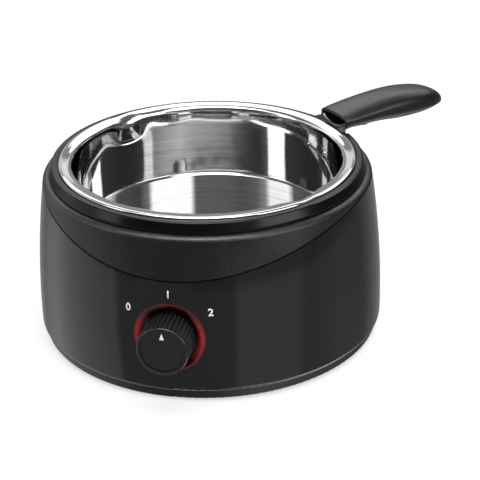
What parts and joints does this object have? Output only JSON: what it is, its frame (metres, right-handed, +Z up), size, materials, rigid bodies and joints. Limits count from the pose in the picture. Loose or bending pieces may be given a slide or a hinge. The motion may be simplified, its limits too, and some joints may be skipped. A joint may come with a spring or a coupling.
{
  "type": "chocolate melter",
  "caption": "Round electric melter with a glossy black sleeve, red-ringed rotary knob and a lift-out steel bowl with pouring lips and a side handle.",
  "frame": {"origin": "where the bowl's axis meets the table, level with the underside of the rubber feet", "axes": "+Z up along the bowl's axis, -Y out through the control knob, the handle points between +X and +Y, at 44 degrees from +X"},
  "size_m": [0.2028, 0.212, 0.104],
  "materials": {
    "gloss_black_shell": "high-gloss moulded black plastic",
    "textured_black_shell": "fine spark-textured black plastic",
    "satin_black_base": "satin moulded black plastic",
    "foot_rubber": "dark grey rubber",
    "zinc_steel": "zinc-plated steel",
    "spun_steel": "polished stainless steel with fine turning lines",
    "pressed_aluminium": "pressed aluminium, satin",
    "mica": "mica board with heating foil",
    "ceramic_wool": "white ceramic fibre pad",
    "phenolic_brown": "brown phenolic moulding",
    "fuse_sleeve": "glass-fibre sleeve",
    "red_lens": "translucent red plastic lens",
    "board_green": "green circuit board",
    "lamp_glass": "clear glass lamp",
    "knob_black": "satin black moulded knob",
    "knob_face_black": "flat satin black disc with a white mark",
    "shaft_brass": "turned brass",
    "switch_body": "black switch housing",
    "gland_rubber": "black rubber bush",
    "block_white": "white terminal block",
    "lead_insulation": "heat-proof lead insulation",
    "black_plate": "black baked paint on steel",
    "grip_black": "satin black heat-proof moulding",
    "white_print": "white pad print of the numerals and the knob's mark"
  },
  "bodies": {
    "housing": {"base_plate": "satin_black_base", "rubber_feet": "foot_rubber", "base_screws": "zinc_steel", "outer_sleeve": "gloss_black_shell", "upper_shell": "textured_black_shell", "seat_collar": "textured_black_shell", "heating_well": "pressed_aluminium", "well_studs": "zinc_steel", "mica_heater": "mica", "insulation_pad": "ceramic_wool", "clamp_plate": "zinc_steel", "clamp_nuts": "zinc_steel", "thermostat": "phenolic_brown", "thermostat_screws": "zinc_steel", "thermal_fuse": "fuse_sleeve", "fuse_clip": "zinc_steel", "dial_bezel": "red_lens", "lamp_board": "board_green", "indicator_lamps": "lamp_glass", "rotary_switch": "switch_body", "switch_nut": "shaft_brass", "switch_bracket": "zinc_steel", "bracket_screws": "zinc_steel", "cord_gland": "gland_rubber", "terminal_block": "block_white", "terminal_screws": "shaft_brass", "wiring_leads": "lead_insulation"},
    "knob": {"knob": "knob_black", "knob_cap": "knob_face_black", "switch_shaft": "shaft_brass", "knob_spring_clip": "zinc_steel"},
    "bowl": {"bowl": "spun_steel", "handle_bracket": "black_plate", "handle_grip": "grip_black", "handle_screw": "zinc_steel"}
  },
  "joints": [
    {"name": "knob_turn", "type": "hinge", "parent": "housing", "child": "knob", "pos_m": [0, -0.095, 0.0354], "axis": [0, 1, 0], "range_deg": [-56, 56]},
    {"name": "bowl_lift", "type": "slide", "parent": "housing", "child": "bowl", "axis": [0, 0, 1], "range_m": [0, 0.08]}
  ]
}
